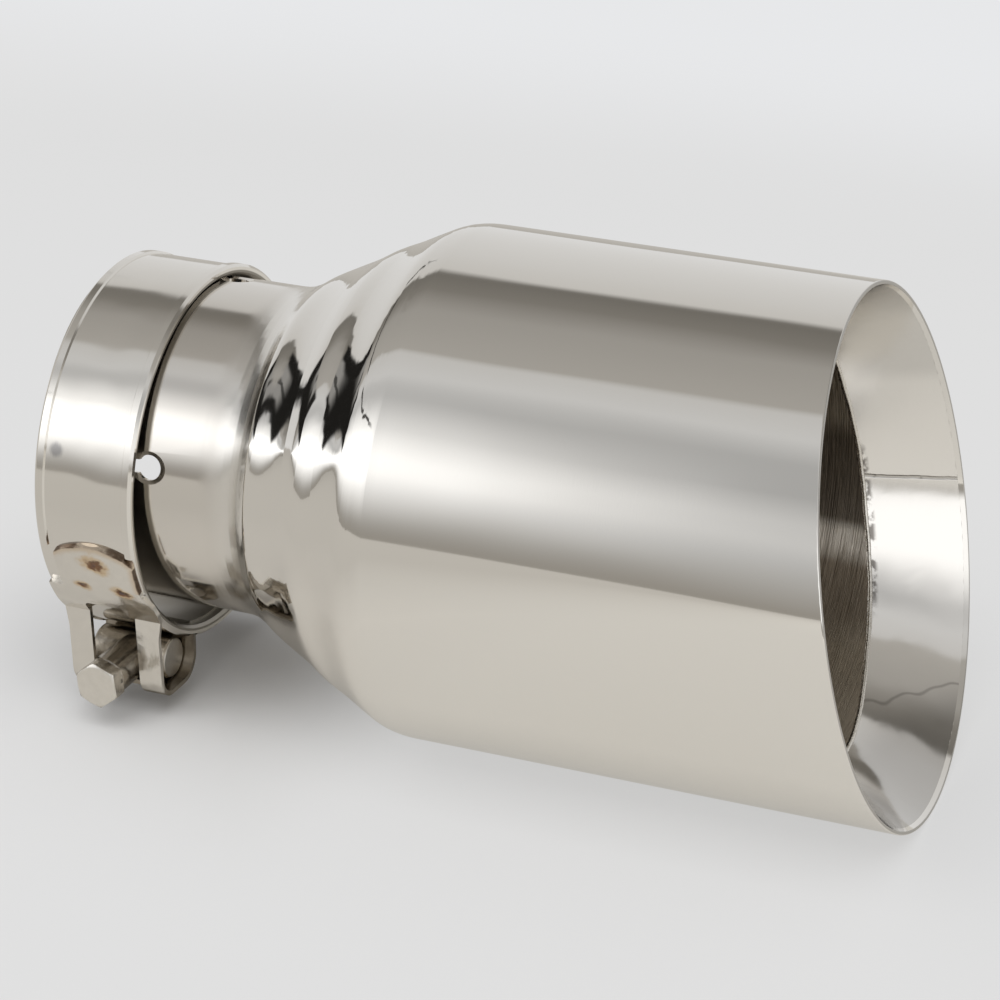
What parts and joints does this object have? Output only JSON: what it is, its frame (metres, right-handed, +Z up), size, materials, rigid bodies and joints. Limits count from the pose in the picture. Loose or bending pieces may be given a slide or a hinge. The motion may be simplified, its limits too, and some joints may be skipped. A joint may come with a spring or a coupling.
{
  "type": "exhaust tip",
  "caption": "Clamp-on double-wall exhaust tip: slotted neck with a bolted band clamp, spun flare, wide barrel and a slant-cut bevelled outlet.",
  "frame": {"origin": "centre of the inlet end of the neck, on the tube axis", "axes": "+X along the tube axis toward the outlet, +Z up as the tip lies on its barrel with the clamp bolt below, +Y across"},
  "size_m": [0.1749, 0.1016, 0.1016],
  "materials": {
    "polished_shell": "mirror polished stainless sheet",
    "polished_bevel": "polished stainless with faint lathe marks",
    "brushed_sleeve": "stainless brushed round the bore",
    "polished_band": "bright rolled stainless strip",
    "ear_strip": "bright stainless strip with heat tint at the spot welds",
    "plain_steel": "turned stainless",
    "bolt_steel": "cold headed stainless, satin"
  },
  "bodies": {
    "root": {"outer_shell": "polished_shell", "inner_bevel": "polished_bevel", "inner_sleeve": "brushed_sleeve", "clamp_band": "polished_band", "gap_tongue": "polished_band", "near_ear": "ear_strip", "far_ear": "ear_strip", "near_barrel": "plain_steel", "far_barrel": "plain_steel", "bolt_collar": "plain_steel", "clamp_bolt": "bolt_steel"}
  },
  "joints": []
}
